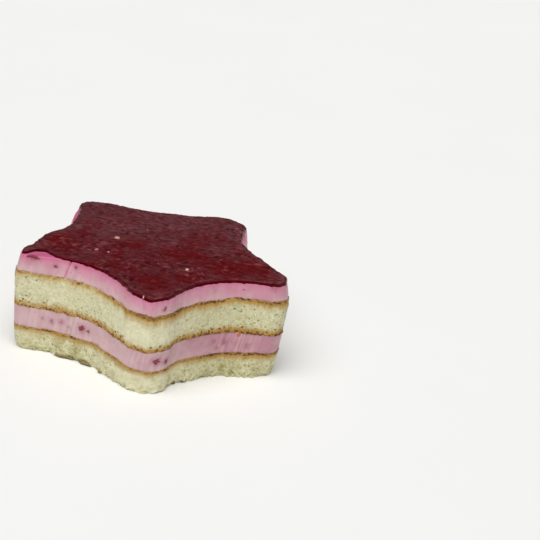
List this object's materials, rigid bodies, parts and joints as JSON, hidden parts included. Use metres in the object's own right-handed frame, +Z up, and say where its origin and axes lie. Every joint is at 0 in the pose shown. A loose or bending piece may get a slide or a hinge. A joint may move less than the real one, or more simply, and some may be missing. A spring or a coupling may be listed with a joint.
{
  "type": "red berry entremet",
  "caption": "Small star-shaped mousse cake: two sponges and two pink berry mousses under a glossy dark red berry glaze.",
  "frame": {"origin": "middle of the cake's width and depth, on the face it stands on", "axes": "+Z up; the front tip of the star points along -Y and +X runs from the left tip towards the right tip"},
  "size_m": [0.1025, 0.092, 0.0409],
  "materials": {
    "sponge": "matt open crumb with a browned crust line along each face",
    "mousse": "smooth soft sheen, cut with a knife",
    "glaze": "glossy set berry jelly with low ripples and a few seeds"
  },
  "bodies": {
    "root": {"sponge_lower": "sponge", "mousse_lower": "mousse", "sponge_upper": "sponge", "mousse_upper": "mousse", "berry_glaze": "glaze"}
  },
  "joints": []
}
